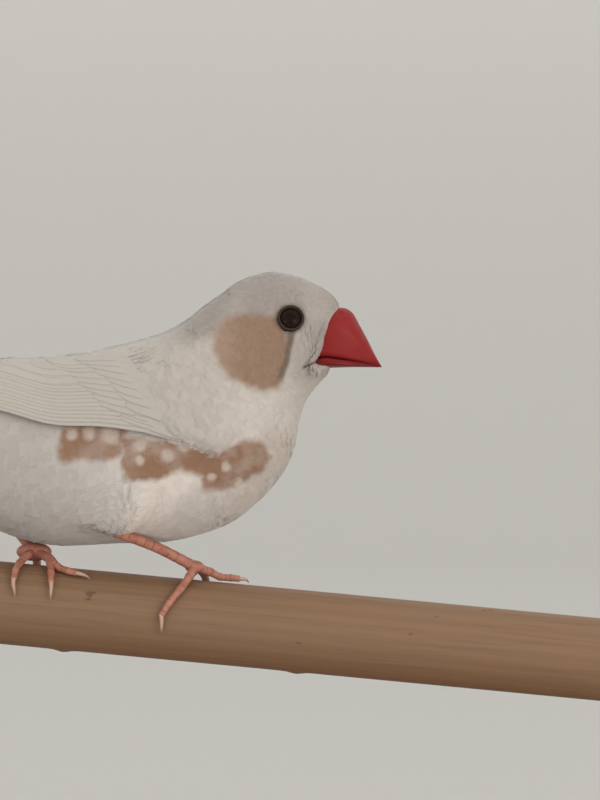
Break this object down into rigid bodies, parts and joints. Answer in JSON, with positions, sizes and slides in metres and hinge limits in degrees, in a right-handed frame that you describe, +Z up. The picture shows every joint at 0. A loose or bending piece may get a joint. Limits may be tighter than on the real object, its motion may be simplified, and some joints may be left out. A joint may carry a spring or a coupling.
{
  "type": "zebra finch",
  "caption": "Life-size songbird perched on a short length of round dowel, held by two rods on a flat base.",
  "frame": {"origin": "middle of the underside of the stand's base", "axes": "+X towards the bill, +Y towards the bird's left side, +Z up"},
  "size_m": [0.1457, 0.056, 0.0934],
  "materials": {
    "plumage": "soft pale body feathers",
    "flight_feathers": "smooth pale vaned feathers",
    "bill": "satin red horn",
    "eye": "glossy dark eye",
    "leg": "satin orange-pink scaled skin",
    "claw": "pale horn",
    "perch_wood": "bare dowel, fine grain",
    "base_wood": "oiled wood",
    "rod": "brushed steel"
  },
  "bodies": {
    "root": {"head": "plumage", "neck": "plumage", "torso": "plumage", "tail": "flight_feathers", "wing_left": "flight_feathers", "wing_right": "flight_feathers", "thigh_left": "plumage", "thigh_right": "plumage", "bill_upper": "bill", "bill_lower": "bill", "eye_left": "eye", "eye_right": "eye", "tarsus_left": "leg", "tarsus_right": "leg", "foot_left": "leg", "foot_right": "leg", "claw_left_hallux": "claw", "claw_left_inner": "claw", "claw_left_middle": "claw", "claw_left_outer": "claw", "claw_right_hallux": "claw", "claw_right_inner": "claw", "claw_right_middle": "claw", "claw_right_outer": "claw", "perch": "perch_wood", "stand_base": "base_wood", "stand_rod_front": "rod", "stand_rod_rear": "rod"}
  },
  "joints": []
}
